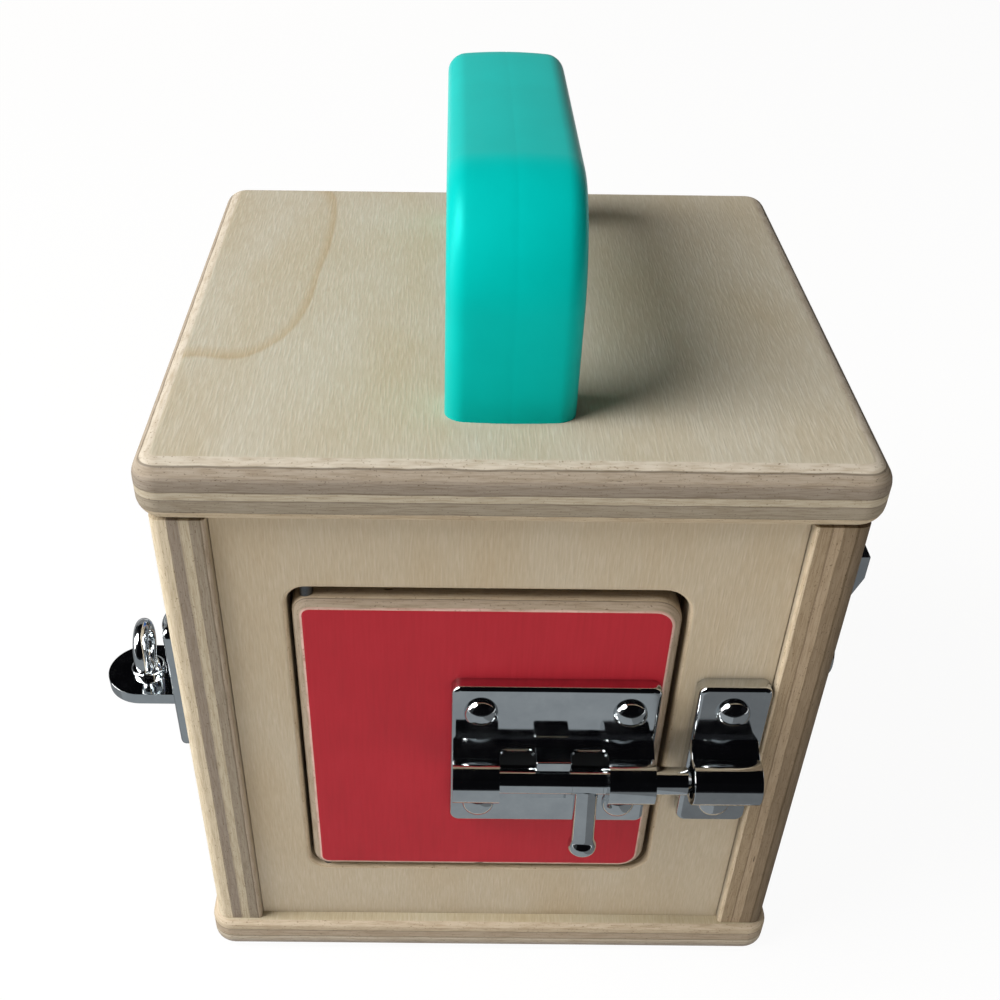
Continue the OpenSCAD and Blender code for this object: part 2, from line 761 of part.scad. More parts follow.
// Leaf folded back over its plate, with a slot for the tongue crossed by one for the ring
module hasp_leaf() {
    root = knuckle_r + slide_gap + 0.3;
    slot_l = tongue_w + 2 * slot_room;
    slot_h = tongue_t + 2 * slot_room;
    ring_top = tongue_up + ring_up + ring_r + ring_wire / 2 + slot_room;
    ring_low = tongue_up - tongue_t - rivet_h - slot_room;
    color(chrome) at_left() difference() {
        union() {
            knuckle(-leaf_knuckle_l / 2, leaf_knuckle_l / 2);
            translate([hinge_x - leaf_l, leaf_y - hasp_t, hasp_up - leaf_knuckle_l / 2])
                cube([leaf_l, hasp_t, leaf_knuckle_l]);
            translate([hinge_x - (leaf_l + root) / 2, leaf_y, hasp_up])
                soft_plate(leaf_l - root, hasp_h, hasp_t, knuckle_r, 0, hasp_t / 3);
        }
        translate([hinge_x, hinge_y, hasp_up - hasp_h])
            cylinder(d = hasp_pin_d + 2 * run_gap, h = 2 * hasp_h);
        translate([hinge_x - slot_mid - slot_l / 2, leaf_y - 2 * hasp_t, tongue_up - tongue_t - slot_room])
            cube([slot_l, 4 * hasp_t, slot_h]);
        translate([hinge_x - slot_mid - foot_d / 2 - slot_room, leaf_y - 2 * hasp_t, ring_low])
            cube([foot_d + 2 * slot_room, 4 * hasp_t, ring_top - ring_low]);
    }
}

module lever_plate() {
    color(chrome) at_right() difference() {
        translate([staple_x, 0, staple_up])
            soft_plate(staple_w, staple_h, lever_plate_t, plate_corner_r, 0, plate_edge_r);
        lever_spots() screw_hole(-lever_plate_t, 0);
        lever_spot() bar_out(1, -lever_plate_t - 1, lever_pin_d + 2 * screw_gap);
    }
}

module lever_screws() { color(chrome) at_right() lever_spots() screw(-lever_plate_t, 0); }

// Flat lever on a round hub, standing up, its tip set outwards for the thumb
module lever_catch() {
    flat_l = lever_l - 11;
    rise_l = lever_l - 6;
    color("#5A5F63") at_right() lever_spot() difference() {
        union() {
            bar_out(lever_y, lever_y - lever_t, lever_w + 2);
            translate([-lever_w / 2, lever_y, 0]) rotate([90, 0, 90]) linear_extrude(lever_w)
                polygon([[0, 0], [0, flat_l], [-lever_flare, rise_l], [-lever_flare, lever_l],
                    [-lever_flare - lever_t, lever_l], [-lever_flare - lever_t, rise_l],
                    [-lever_t, flat_l], [-lever_t, 0]]);
        }
        bar_out(1, lever_y - lever_t - 1, lever_pin_d + 2 * run_gap);
    }
}

// Headed pivot through lever and plate into the wall
module lever_pivot() {
    color(chrome) at_right() lever_spot() {
        bar_out(screw_in, lever_y - lever_t - run_gap, lever_pin_d);
        translate([0, lever_y - lever_t - run_gap, 0]) rotate([90, 0, 0]) dome(head_d, head_h * 0.7);
    }
}

module button_washer() {
    color(chrome) at_back() button_spot() difference() {
        bar_out(0, -washer_t, head_d + 2);
        bar_out(1, -washer_t - 1, button_pin_d + 2 * screw_gap);
    }
}

// Long button with round ends and a thumb ridge, standing upright
module turn_button() {
    color(chrome) at_back() button_spot() difference() {
        translate([0, -washer_t - run_gap, 0]) rotate([90, 0, 0]) {
            linear_extrude(button_t) {
                square([button_w, button_l - button_w], center = true);
                for (sz = [-1, 1]) translate([0, sz * (button_l - button_w) / 2]) circle(d = button_w);
            }
            for (sz = [-1, 1]) translate([0, sz * (button_l + head_d - ridge_w) / 4, button_t])
                linear_extrude(ridge_h)
                    square([ridge_w, (button_l - head_d - ridge_w) / 2 - 2], center = true);
        }
        bar_out(1, -washer_t - button_t - ridge_h - 1, button_pin_d + 2 * run_gap);
    }
}

module button_screw() {
    color(chrome) at_back() button_spot() {
        bar_out(screw_in, -washer_t - button_t - 2 * run_gap, button_pin_d);
        translate([0, -washer_t - button_t - 2 * run_gap, 0]) rotate([90, 0, 0]) dome(head_d, head_h);
    }
}

base_board();
left_wall();
right_wall();
front_panel();
back_panel();
top_board();
base_dowels();
top_dowels();
carry_handle();
handle_screws();
front_door();
front_door_pins();
bolt_case();
bolt_screws();
bolt_rod();
bolt_knob();
keeper();
keeper_screws();
left_door();
left_door_pins();
staple_plate();
staple_screws();
swivel_ring();
hasp_base();
hasp_screws();
hasp_pin();
hasp_leaf();
right_door();
right_door_pins();
lever_plate();
lever_screws();
lever_catch();
lever_pivot();
back_door();
back_door_pins();
button_washer();
turn_button();
button_screw();
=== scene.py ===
import math

import bmesh
import bpy
from mathutils import Matrix, Vector


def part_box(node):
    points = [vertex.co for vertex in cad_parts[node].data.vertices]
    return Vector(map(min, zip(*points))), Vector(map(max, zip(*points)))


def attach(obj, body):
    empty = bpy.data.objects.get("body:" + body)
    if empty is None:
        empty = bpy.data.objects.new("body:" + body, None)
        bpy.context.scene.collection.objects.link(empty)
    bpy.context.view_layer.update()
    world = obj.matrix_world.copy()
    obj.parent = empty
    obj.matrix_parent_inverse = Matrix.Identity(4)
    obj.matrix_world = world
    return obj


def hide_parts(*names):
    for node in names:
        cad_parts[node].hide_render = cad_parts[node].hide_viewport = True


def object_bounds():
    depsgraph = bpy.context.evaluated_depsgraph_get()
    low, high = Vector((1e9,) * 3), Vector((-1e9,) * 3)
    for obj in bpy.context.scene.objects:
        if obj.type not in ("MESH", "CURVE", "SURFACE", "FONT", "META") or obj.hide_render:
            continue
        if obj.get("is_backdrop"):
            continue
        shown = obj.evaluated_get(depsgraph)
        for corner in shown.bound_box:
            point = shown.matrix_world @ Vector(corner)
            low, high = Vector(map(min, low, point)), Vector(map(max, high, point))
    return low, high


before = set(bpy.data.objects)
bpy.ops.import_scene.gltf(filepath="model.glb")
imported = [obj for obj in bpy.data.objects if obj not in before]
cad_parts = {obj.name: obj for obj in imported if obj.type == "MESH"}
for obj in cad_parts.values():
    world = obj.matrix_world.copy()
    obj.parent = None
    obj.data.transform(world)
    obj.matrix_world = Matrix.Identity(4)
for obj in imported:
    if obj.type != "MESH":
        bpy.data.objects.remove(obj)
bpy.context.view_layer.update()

# Base board
# The box stands on a birch plywood board with rounded corners and edges. Its faces are pale
# rotary-cut veneer under a thin clear coat, and its sanded edges show the plies as bands.
mm = 0.001
X, Y, Z = range(3)
MIX_A, MIX_B, MIX_RESULT = 6, 7, 2  # colour sockets of a Mix node, which share their names with others
square_on, face_on = 0.999, 0.98  # cosines from which an edge or a face counts as along an axis
plain_crease = 38  # degrees


def linear(colour):
    """An sRGB hex colour as linear red, green, blue and alpha."""
    parts = [int(colour[i:i + 2], 16) / 255 for i in (1, 3, 5)]
    return [p / 12.92 if p <= 0.04045 else ((p + 0.055) / 1.055) ** 2.4 for p in parts] + [1.0]


def add(tree, kind, inputs=None, **settings):
    """Adds a node, with its settings, and sets or links its inputs."""
    made = tree.nodes.new(kind)
    for name, value in settings.items():
        setattr(made, name, value)
    for name, value in (inputs or {}).items():
        if isinstance(value, bpy.types.NodeSocket):
            tree.links.new(value, made.inputs[name])
        else:
            made.inputs[name].default_value = value
    return made


def start_material(name, kind="ShaderNodeBsdfPrincipled", **fixed):
    """A new material with one shader, whose fixed values go on the shader's own sockets."""
    material = bpy.data.materials.new(name)
    material.use_nodes = True
    tree = material.node_tree
    tree.nodes.clear()
    shader = add(tree, kind, {socket.replace("_", " "): value for socket, value in fixed.items()})
    add(tree, "ShaderNodeOutputMaterial", {"Surface": shader.outputs[0]})
    return material, tree, shader


def set_ramp(ramp, stops):
    """Gives a colour ramp its (place, hex colour) stops."""
    elements = ramp.color_ramp.elements
    while len(elements) < len(stops):
        elements.new(0.5)
    for element, (place, colour) in zip(elements, stops):
        element.position = place
        element.color = linear(colour)


def stretched(tree, coords, sizes):
    """Object coordinates counted in cells of the given sizes along X, Y and Z."""
    return add(tree, "ShaderNodeMapping", {"Vector": coords, "Scale": [1 / s for s in sizes]}).outputs[0]


def birch_veneer(name, grain, seed, dark, middle, pale, ring=None):
    """Birch veneer under a clear coat: fine pale fibres along the grain and a faint wide figure,
    with one growth ring where its place is given."""
    material, tree, shader = start_material(name, Roughness=0.6, IOR=1.42)
    coords = add(tree, "ShaderNodeTexCoord").outputs["Object"]
    moved = add(tree, "ShaderNodeMapping", {
        "Vector": coords, "Location": [seed, 2 * seed, 3 * seed]}).outputs[0]
    # Birch's fibres are under 0.1 mm wide, too fine to show, so they are drawn 0.3 to 0.55 mm wide.
    fibre, crest, figure = [0.3 * mm] * 3, [0.55 * mm] * 3, [22 * mm] * 3
    fibre[grain], crest[grain], figure[grain] = 3 * mm, 6 * mm, 60 * mm
    fibres = add(tree, "ShaderNodeTexNoise", {
        "Vector": stretched(tree, moved, fibre), "Scale": 1.0, "Detail": 2.0, "Roughness": 0.55})
    crests = add(tree, "ShaderNodeTexNoise", {
        "Vector": stretched(tree, moved, crest), "Scale": 1.0, "Detail": 1.0, "Roughness": 0.4})
    hills = add(tree, "ShaderNodeTexNoise", {
        "Vector": stretched(tree, moved, figure), "Scale": 1.0, "Detail": 2.0, "Roughness": 0.45})
    tone = add(tree, "ShaderNodeValToRGB", {"Fac": fibres.outputs["Fac"]})
    set_ramp(tone, [(0.25, dark), (0.5, middle), (0.75, pale)])
    cloud = add(tree, "ShaderNodeValToRGB", {"Fac": hills.outputs["Fac"]})
    set_ramp(cloud, [(0.3, "#F8F2E8"), (0.6, "#FFFFFF")])
    streak = add(tree, "ShaderNodeValToRGB", {"Fac": crests.outputs["Fac"]})
    set_ramp(streak, [(0.3, "#F6F3EE"), (0.55, "#FAF9F6"), (0.7, "#FFFFFF")])
    layers = [cloud, streak]
    if ring:
        centre, lean, radii = ring
        oval = add(tree, "ShaderNodeMapping", {
            "Vector": coords, "Location": centre, "Rotation": (0, 0, lean), "Scale": radii},
            vector_type="TEXTURE").outputs[0]
        square = add(tree, "ShaderNodeVectorMath", {0: oval, 1: oval}, operation="MULTIPLY")
        reach = add(tree, "ShaderNodeVectorMath", {0: square.outputs[0]}, operation="LENGTH")
        sway = add(tree, "ShaderNodeMapRange", {
            "Value": hills.outputs["Fac"], "From Min": 0.2, "From Max": 0.8, "To Min": -0.12, "To Max": 0.12})
        swayed = add(tree, "ShaderNodeMath", {0: reach.outputs["Value"], 1: sway.outputs[0]}, operation="ADD")
        arc = add(tree, "ShaderNodeValToRGB", {"Fac": swayed.outputs[0]})
        set_ramp(arc, [(0.78, "#FFFFFF"), (0.9, "#F8F0E5"), (0.95, "#F3E9DB"), (1.0, "#FFFFFF")])
        layers.append(arc)
    colour = tone.outputs[0]
    for layer in layers:
        colour = add(tree, "ShaderNodeMix", {
            "Factor": 1.0, MIX_A: colour, MIX_B: layer.outputs[0]},
            data_type="RGBA", blend_type="MULTIPLY").outputs[MIX_RESULT]
    tree.links.new(colour, shader.inputs["Base Color"])
    relief = add(tree, "ShaderNodeMapRange", {
        "Value": crests.outputs["Fac"], "From Min": 0.45, "From Max": 0.75, "To Min": 0.0, "To Max": 1.0})
    bump = add(tree, "ShaderNodeBump", {
        "Height": relief.outputs[0], "Strength": 0.3, "Distance": 0.1 * mm})
    tree.links.new(bump.outputs[0], shader.inputs["Normal"])
    return material


def ply_edge(name, across, low, high, plies, wander=0.12 * mm):
    """Sanded plywood edge: crisp bands of long and end grain that wander a little, with dark specks
    and a few voids."""
    material, tree, shader = start_material(name, Roughness=0.7, IOR=1.45)
    coords = add(tree, "ShaderNodeTexCoord").outputs["Object"]
    # Its pores are as fine, and are drawn 0.3 to 0.6 mm wide so that they show.
    streak, pore, void = [5 * mm] * 3, [0.6 * mm] * 3, [6 * mm] * 3
    streak[across], pore[across], void[across] = 0.3 * mm, 0.3 * mm, 1.0 * mm
    streaks = add(tree, "ShaderNodeTexNoise", {
        "Vector": stretched(tree, coords, streak), "Scale": 1.0, "Detail": 2.0, "Roughness": 0.6})
    pores = add(tree, "ShaderNodeTexNoise", {
        "Vector": stretched(tree, coords, pore), "Scale": 1.0, "Detail": 1.0, "Roughness": 0.5})
    waves = add(tree, "ShaderNodeTexNoise", {
        "Vector": stretched(tree, coords, [9 * mm] * 3), "Scale": 1.0, "Detail": 2.0})
    voids = add(tree, "ShaderNodeTexNoise", {
        "Vector": stretched(tree, coords, void), "Scale": 1.0, "Detail": 1.0, "Roughness": 0.4})
    place = add(tree, "ShaderNodeSeparateXYZ", {"Vector": coords}).outputs[across]
    depth = add(tree, "ShaderNodeMapRange", {
        "Value": place, "From Min": low, "From Max": high, "To Min": 0.0, "To Max": 1.0}).outputs[0]
    most = wander / (high - low)
    shift = add(tree, "ShaderNodeMapRange", {
        "Value": waves.outputs["Fac"], "From Min": 0.25, "From Max": 0.75,
        "To Min": -most, "To Max": most}).outputs[0]
    layer = add(tree, "ShaderNodeMath", {0: depth, 1: shift}, operation="ADD").outputs[0]
    band = add(tree, "ShaderNodeValToRGB", {"Fac": layer})
    blur = 0.06 * mm / (high - low)
    stops, start = [], 0.0
    for limit, colour in plies:
        stops += [(start + blur, colour), (limit - blur, colour)]
        start = limit
    set_ramp(band, stops)
    line = add(tree, "ShaderNodeValToRGB", {"Fac": streaks.outputs["Fac"]})
    set_ramp(line, [(0.3, "#D8D0C4"), (0.6, "#FFFFFF")])
    speck = add(tree, "ShaderNodeValToRGB", {"Fac": pores.outputs["Fac"]})
    set_ramp(speck, [(0.24, "#A39684"), (0.36, "#FFFFFF")])
    hole = add(tree, "ShaderNodeValToRGB", {"Fac": voids.outputs["Fac"]})
    set_ramp(hole, [(0.19, "#5A4A3A"), (0.22, "#FFFFFF")])
    colour = band.outputs[0]
    for mark, share in ((line, 0.8), (speck, 0.7), (hole, 0.85)):
        colour = add(tree, "ShaderNodeMix", {
            "Factor": share, MIX_A: colour, MIX_B: mark.outputs[0]},
            data_type="RGBA", blend_type="MULTIPLY").outputs[MIX_RESULT]
    tree.links.new(colour, shader.inputs["Base Color"])
    bump = add(tree, "ShaderNodeBump", {
        "Height": streaks.outputs["Fac"], "Strength": 0.3, "Distance": 0.12 * mm})
    tree.links.new(bump.outputs[0], shader.inputs["Normal"])
    return material


def slab(low, high):
    """A block between two corners."""
    bm = bmesh.new()
    bmesh.ops.create_cube(bm, size=1.0)
    bmesh.ops.scale(bm, vec=high - low, verts=bm.verts)
    bmesh.ops.translate(bm, vec=(low + high) / 2, verts=bm.verts)
    return bm


def along(bm, axis):
    """The edges that run along an axis."""
    return [e for e in bm.edges if abs((e.verts[0].co - e.verts[1].co).normalized()[axis]) > square_on]


def rims(bm, axis, looks=(-1, 1)):
    """The edges around the faces that look one way or both ways along an axis."""
    def flat(face):
        return any(face.normal[axis] * way > square_on for way in looks)
    return [e for e in bm.edges if len(e.link_faces) == 2 and flat(e.link_faces[0]) != flat(e.link_faces[1])]


def soften(bm, edges, width, segments, clamp=False):
    """Rounds edges off, and if clamped no further than their faces allow."""
    bm.normal_update()
    bmesh.ops.bevel(bm, geom=edges, offset=width, offset_type="OFFSET", segments=segments,
                    profile=0.5, affect="EDGES", material=-1, clamp_overlap=clamp)
    bm.normal_update()


def two_finishes(bm, axis):
    """Faces that look along an axis keep the first material, and edges take the second."""
    bm.normal_update()
    for face in bm.faces:
        face.material_index = 0 if abs(face.normal[axis]) > face_on else 1


def put_object(name, bm, materials):
    """Turns a bmesh into an object at the origin."""
    mesh = bpy.data.meshes.new(name)
    bm.to_mesh(mesh)
    bm.free()
    for material in materials:
        mesh.materials.append(material)
    made = bpy.data.objects.new(name, mesh)
    bpy.context.scene.collection.objects.link(made)
    return made


def make_piece(name, bm, materials, body, slot, *nodes, crease=plain_crease):
    """Turns a bmesh into a piece, sharp from a crease of so many degrees, that rides on a body and
    replaces CAD nodes."""
    bm.normal_update()
    for face in bm.faces:
        face.smooth = True
    for edge in bm.edges:
        edge.smooth = edge.calc_face_angle(0.0) < math.radians(crease)
    piece = put_object(name, bm, materials)
    weighted = piece.modifiers.new("Flat faces stay flat", "WEIGHTED_NORMAL")
    weighted.keep_sharp = True
    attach(piece, body)
    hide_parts(*nodes)


board_corner, base_under, base_over = 6 * mm, 4 * mm, 2 * mm
base_plies = [(0.33, "#988F86"), (0.42, "#A39A8C"), (0.5, "#B5AB9B"), (0.53, "#877C6D"), (0.74, "#A49684"),
              (0.77, "#8A7D6C"), (0.9, "#B3A58F"), (1.0, "#C0B29D")]
low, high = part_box("base_board")
base_veneer = birch_veneer("Birch veneer of the base", Y, seed=0.31,
                           dark="#B2A892", middle="#B9B09A", pale="#BFB7A2")
base_edge = ply_edge("Birch ply edge of the base", Z, low.z, high.z, base_plies)
bm = slab(low, high)
soften(bm, along(bm, Z), board_corner, segments=8)
soften(bm, rims(bm, Z, [-1]), base_under, segments=8)
soften(bm, rims(bm, Z, [1]), base_over, segments=6)
two_finishes(bm, Z)
make_piece("base_ply_board", bm, [base_veneer, base_edge], "box", "birch_ply", "base_board")

# Side walls
# Two plywood walls run the full depth of the box, so their ply edges face the front and back as
# upright stripes. Each has a doorway with broken edges, and its upright edges are rounded.
wall_round, wall_arris, arris = 2.5 * mm, 0.8 * mm, 1.2 * mm
doorway_hinge_round, doorway_lock_round = 4.5 * mm, 6.2 * mm
gap_hinge, gap_lock, gap_bottom, gap_top = 0.9 * mm, 1.2 * mm, 1.2 * mm, 2.8 * mm
inner_reach, core_reach = 5 * mm, 30 * mm  # from the middle of a wall's thickness, and of a doorway or door
facing, edge_on = 0.9, 0.1  # cosines for faces that look along a thickness or across it
touch, cut_touch = 0.001 * mm, 0.0001 * mm


def cut_at(bm, parts, axis, place):
    """Cuts some parts of a mesh at a place along an axis."""
    normal, point = Vector((0, 0, 0)), Vector((0, 0, 0))
    normal[axis], point[axis] = 1, place
    bmesh.ops.bisect_plane(bm, geom=parts, dist=cut_touch, plane_co=point, plane_no=normal)


def cut_doorway(bm, thickness_axis, across_axis, door_low, door_high, lock):
    """Cuts a doorway through a slab: four plane cuts, the middle faces taken out, and the hole lined
    and softened."""
    gap = {lock: gap_lock, -lock: gap_hinge}
    sides = {(across_axis, -1): door_low[across_axis] - gap[-1],
             (across_axis, 1): door_high[across_axis] + gap[1],
             (Z, -1): door_low.z - gap_bottom, (Z, 1): door_high.z + gap_top}
    for (axis, _), place in sides.items():
        cut_at(bm, bm.verts[:] + bm.edges[:] + bm.faces[:], axis, place)
    middle = (door_low + door_high) / 2

    def in_hole(point):
        return all(abs(point[axis] - middle[axis]) < core_reach for axis in (across_axis, Z))
    bm.normal_update()
    gone = [f for f in bm.faces
            if abs(f.normal[thickness_axis]) > facing and in_hole(f.calc_center_median())]
    hole_edges = [e for f in gone for e in f.edges]
    bmesh.ops.delete(bm, geom=gone, context="FACES_ONLY")
    bmesh.ops.bridge_loops(bm, edges=[e for e in hole_edges if e.is_valid])
    bmesh.ops.recalc_face_normals(bm, faces=bm.faces)
    for way, radius in ((-lock, doorway_hinge_round), (lock, doorway_lock_round)):
        inside = [e for e in along(bm, thickness_axis)
                  if abs(e.verts[0].co[across_axis] - sides[across_axis, way]) < touch
                  and any(abs(e.verts[0].co.z - sides[Z, up]) < touch for up in (-1, 1))]
        soften(bm, inside, radius, segments=8)
    lining = [f for f in bm.faces if abs(f.normal[thickness_axis]) < edge_on
              and all(sides[axis, -1] - touch < f.calc_center_median()[axis] < sides[axis, 1] + touch
                      for axis in (across_axis, Z))]
    mouth = {e for f in lining for e in f.edges
             if any(abs(g.normal[thickness_axis]) > facing for g in e.link_faces)}
    soften(bm, list(mouth), arris, segments=4)


# The bands on each wall's edge are the plies' own colours with painted light and shade over them: lighter
# towards the side that faces left, darker towards the side that faces right, and darker overall on the right
# wall.
wall_plies_with_painted_light = {
    "left": [(0.33, "#C9BDA6"), (0.36, "#94887A"), (0.54, "#8B8074"), (0.57, "#A69B88"), (0.72, "#B3A994"),
             (0.75, "#8F8475"), (0.9, "#8E8475"), (0.93, "#776B5B"), (1.0, "#A39685")],
    "right": [(0.07, "#C9BAA2"), (0.29, "#98876F"), (0.32, "#81705B"), (0.5, "#A2917A"), (0.54, "#7F6F5A"),
              (0.73, "#84745F"), (0.77, "#635440"), (1.0, "#726452")]}
wall_veneer = birch_veneer("Birch veneer, upright grain", Z, seed=0.77,
                           dark="#B1A693", middle="#B8AD9A", pale="#BEB3A1")
for side in ("left", "right"):
    low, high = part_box(side + "_wall")
    door_low, door_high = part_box(side + "_door")
    wall_edge = ply_edge("Birch ply edge of the %s wall" % side, X, low.x, high.x, wall_plies_with_painted_light[side])
    bm = slab(low, high)
    middle = (low.x + high.x) / 2
    outwards = math.copysign(1, middle)
    outer = [e for e in along(bm, Z) if (e.verts[0].co.x - middle) * outwards > 0]
    soften(bm, outer, wall_round, segments=6)
    inner = [e for e in along(bm, Z) if (e.verts[0].co.x - middle) * outwards < -inner_reach]
    soften(bm, inner, wall_arris, segments=3)
    cut_doorway(bm, X, Y, door_low, door_high, -1)
    two_finishes(bm, X)
    make_piece(side + "_ply_wall", bm, [wall_veneer, wall_edge], "box", "birch_ply", side + "_wall")

# Front and back panels
# Plywood panels between the side walls, set back a little from the walls' edges, each with a
# doorway. A hairline joint shows at the walls, and their faces have calm, upright grain.
joint = Vector((0.25 * mm, 0, 0))
panel_plies = [(0.16, "#C2B39B"), (0.18, "#87796A"), (0.4, "#9A8C79"), (0.42, "#87796A"), (0.58, "#B1A28B"),
               (0.6, "#87796A"), (0.82, "#9A8C79"), (0.84, "#87796A"), (1.0, "#C2B39B")]
for side, lock in (("front", 1), ("back", -1)):
    low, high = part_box(side + "_panel")
    door_low, door_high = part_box(side + "_door")
    panel_edge = ply_edge("Birch ply edge of the %s panel" % side, Y, low.y, high.y, panel_plies)
    bm = slab(low + joint, high - joint)
    cut_doorway(bm, Y, X, door_low, door_high, lock)
    two_finishes(bm, Y)
    make_piece(side + "_ply_panel", bm, [wall_veneer, panel_edge], "box", "birch_ply", side + "_panel")

# Top board
# A thicker plywood board closes the box, well rounded all round. Its grain runs from front to back
# with one growth ring on the left, and its front edge shows the plies best.
top_round = 5 * mm
top_plies = [(0.23, "#B6A891"), (0.25, "#877D6F"), (0.44, "#938A7B"), (0.46, "#82786A"), (0.58, "#B0A795"),
             (0.6, "#7C7265"), (0.76, "#8B8175"), (0.8, "#958A7D"), (0.915, "#A09586"), (0.935, "#7C7264"),
             (1.0, "#C4BBAC")]
growth_centre, growth_lean = (-72 * mm, 25 * mm, 161 * mm), math.radians(-3)
growth_radii = (27 * mm, 55 * mm, 27 * mm)
low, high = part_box("top_board")
top_veneer = birch_veneer("Birch veneer of the top", Y, seed=0.43,
                          dark="#B4AE9E", middle="#BBB5A6", pale="#C1BBAD",
                          ring=(growth_centre, growth_lean, growth_radii))
top_edge = ply_edge("Birch ply edge of the top", Z, low.z, high.z, top_plies)
bm = slab(low, high)
soften(bm, along(bm, Z), board_corner, segments=8)
soften(bm, rims(bm, Z), top_round, segments=10)
two_finishes(bm, Z)
make_piece("top_ply_board", bm, [top_veneer, top_edge], "box", "birch_ply", "top_board")

# Dowels
# Turned beech dowels, glued into the walls and into the boards above and below them. They hold the
# box together and are covered when it is finished.


def dress(node, material):
    """Gives its material to a CAD node that is shown as it is."""
    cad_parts[node].data.materials.clear()
    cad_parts[node].data.materials.append(material)


# The beech gives the eye a warm tan with fine flecks along each dowel.
beech, tree, shader = start_material("Turned beech", Roughness=0.6, IOR=1.5)
coords = add(tree, "ShaderNodeTexCoord").outputs["Object"]
rays = add(tree, "ShaderNodeTexNoise", {
    "Vector": stretched(tree, coords, (0.5 * mm, 0.5 * mm, 6 * mm)), "Scale": 1.0, "Detail": 2.0})
tone = add(tree, "ShaderNodeValToRGB", {"Fac": rays.outputs["Fac"]})
set_ramp(tone, [(0.3, "#B98F5C"), (0.7, "#D2AE7E")])
tree.links.new(tone.outputs[0], shader.inputs["Base Color"])
for node in ("base_dowels", "top_dowels"):
    dress(node, beech)

# Carry handle
# A turquoise arch of moulded plastic, a little crowned, with rounded edges and the fine parting line
# of its mould along the middle. Two screws from under the top board hold its legs.
low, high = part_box("carry_handle")
grip_thick, bend_inside, grip_round, crown = 13 * mm, 11 * mm, 4 * mm, 0.8 * mm
seam_half, seam_depth = 0.25 * mm, 0.07 * mm
corner_steps, bend_steps, crown_places = 8, 24, (0.6, 0.45, 0.3, 0.15)
# The plastic gives the eye one even turquoise with a soft sheen of its own colour and a faint skin.
turquoise, tree, shader = start_material("Turquoise moulded plastic", Roughness=0.38, IOR=1.48,
                                         Specular_Tint=linear("#30FFF4"))
coords = add(tree, "ShaderNodeTexCoord").outputs["Object"]
clouds = add(tree, "ShaderNodeTexNoise", {
    "Vector": stretched(tree, coords, [18 * mm] * 3), "Scale": 1.0, "Detail": 2.0})
tone = add(tree, "ShaderNodeValToRGB", {"Fac": clouds.outputs["Fac"]})
set_ramp(tone, [(0.3, "#00B0AB"), (0.7, "#00B7B2")])
tree.links.new(tone.outputs[0], shader.inputs["Base Color"])
# The mould's own texture is too fine to show, so it is drawn at 0.8 mm.
skin = add(tree, "ShaderNodeTexNoise", {
    "Vector": stretched(tree, coords, [0.8 * mm] * 3), "Scale": 1.0, "Detail": 2.0})
bump = add(tree, "ShaderNodeBump", {"Height": skin.outputs["Fac"], "Strength": 0.12, "Distance": 0.08 * mm})
tree.links.new(bump.outputs[0], shader.inputs["Normal"])
half_wide, half_thick = (high.x - low.x) / 2, grip_thick / 2
outline = []
for quarter, (side_x, side_y) in enumerate(((1, 1), (-1, 1), (-1, -1), (1, -1))):
    for step in range(corner_steps + 1):
        angle = math.radians(90 * (quarter + step / corner_steps))
        outline.append((side_x * (half_wide - grip_round) + grip_round * math.cos(angle),
                        side_y * (half_thick - grip_round) + grip_round * math.sin(angle)))
    if side_x == side_y:
        outline += [(side_x * part * half_wide, side_y * half_thick) for part in crown_places]
        outline += [(side_x * seam_half, side_y * half_thick), (0, side_y * (half_thick - seam_depth)),
                    (-side_x * seam_half, side_y * half_thick)]
        outline += [(-side_x * part * half_wide, side_y * half_thick) for part in reversed(crown_places)]
outline = [(x, y * (1 - crown / half_thick * (x / half_wide) ** 2)) for x, y in outline]
bm = bmesh.new()
end = bm.faces.new([bm.verts.new((x, low.y + half_thick + y, low.z)) for x, y in outline])
bend_z = high.z - grip_thick - bend_inside
bend_y = high.y - grip_thick - bend_inside


def grow(face, step):
    """Draws a section out along a straight."""
    made = bmesh.ops.extrude_face_region(bm, geom=[face])
    bmesh.ops.translate(bm, vec=step, verts=[v for v in made["geom"] if isinstance(v, bmesh.types.BMVert)])
    return [f for f in made["geom"] if isinstance(f, bmesh.types.BMFace)][0]


def turn(face, centre):
    """Draws a section out round a quarter bend."""
    made = bmesh.ops.spin(bm, geom=[face] + face.edges[:] + face.verts[:], cent=centre, axis=(1, 0, 0),
                          angle=-math.pi / 2, steps=bend_steps, use_duplicate=False)
    return [f for f in made["geom_last"] if isinstance(f, bmesh.types.BMFace)][0]


def close_up(bm):
    """Merges the seams of a bent or turned form and points its faces outwards."""
    bmesh.ops.remove_doubles(bm, verts=bm.verts, dist=touch)
    bmesh.ops.recalc_face_normals(bm, faces=bm.faces)


end = grow(end, (0, 0, bend_z - low.z))
end = turn(end, (0, -bend_y, bend_z))
end = grow(end, (0, 2 * bend_y, 0))
end = turn(end, (0, bend_y, bend_z))
grow(end, (0, 0, low.z - bend_z))
close_up(bm)
make_piece("carry_grip", bm, [turquoise], "box", "turquoise_plastic", "carry_handle")

# Doors
# Four plywood doors, painted on their flat faces, with the rounded edges left bare so that a rim
# of natural wood shows. Each turns on two steel pins let into the wall above and below it.
rim_round, hinge_round, lock_round, rim_wander = 3 * mm, 4.2 * mm, 6.4 * mm, 0.06 * mm
door_plies = [(0.02, "#CBA9A0"), (0.15, "#9F9180"), (0.165, "#6C5F50"), (0.835, "#AE9E87"), (0.85, "#6C5F50"),
              (0.98, "#9F9180"), (1.0, "#CBA9A0")]


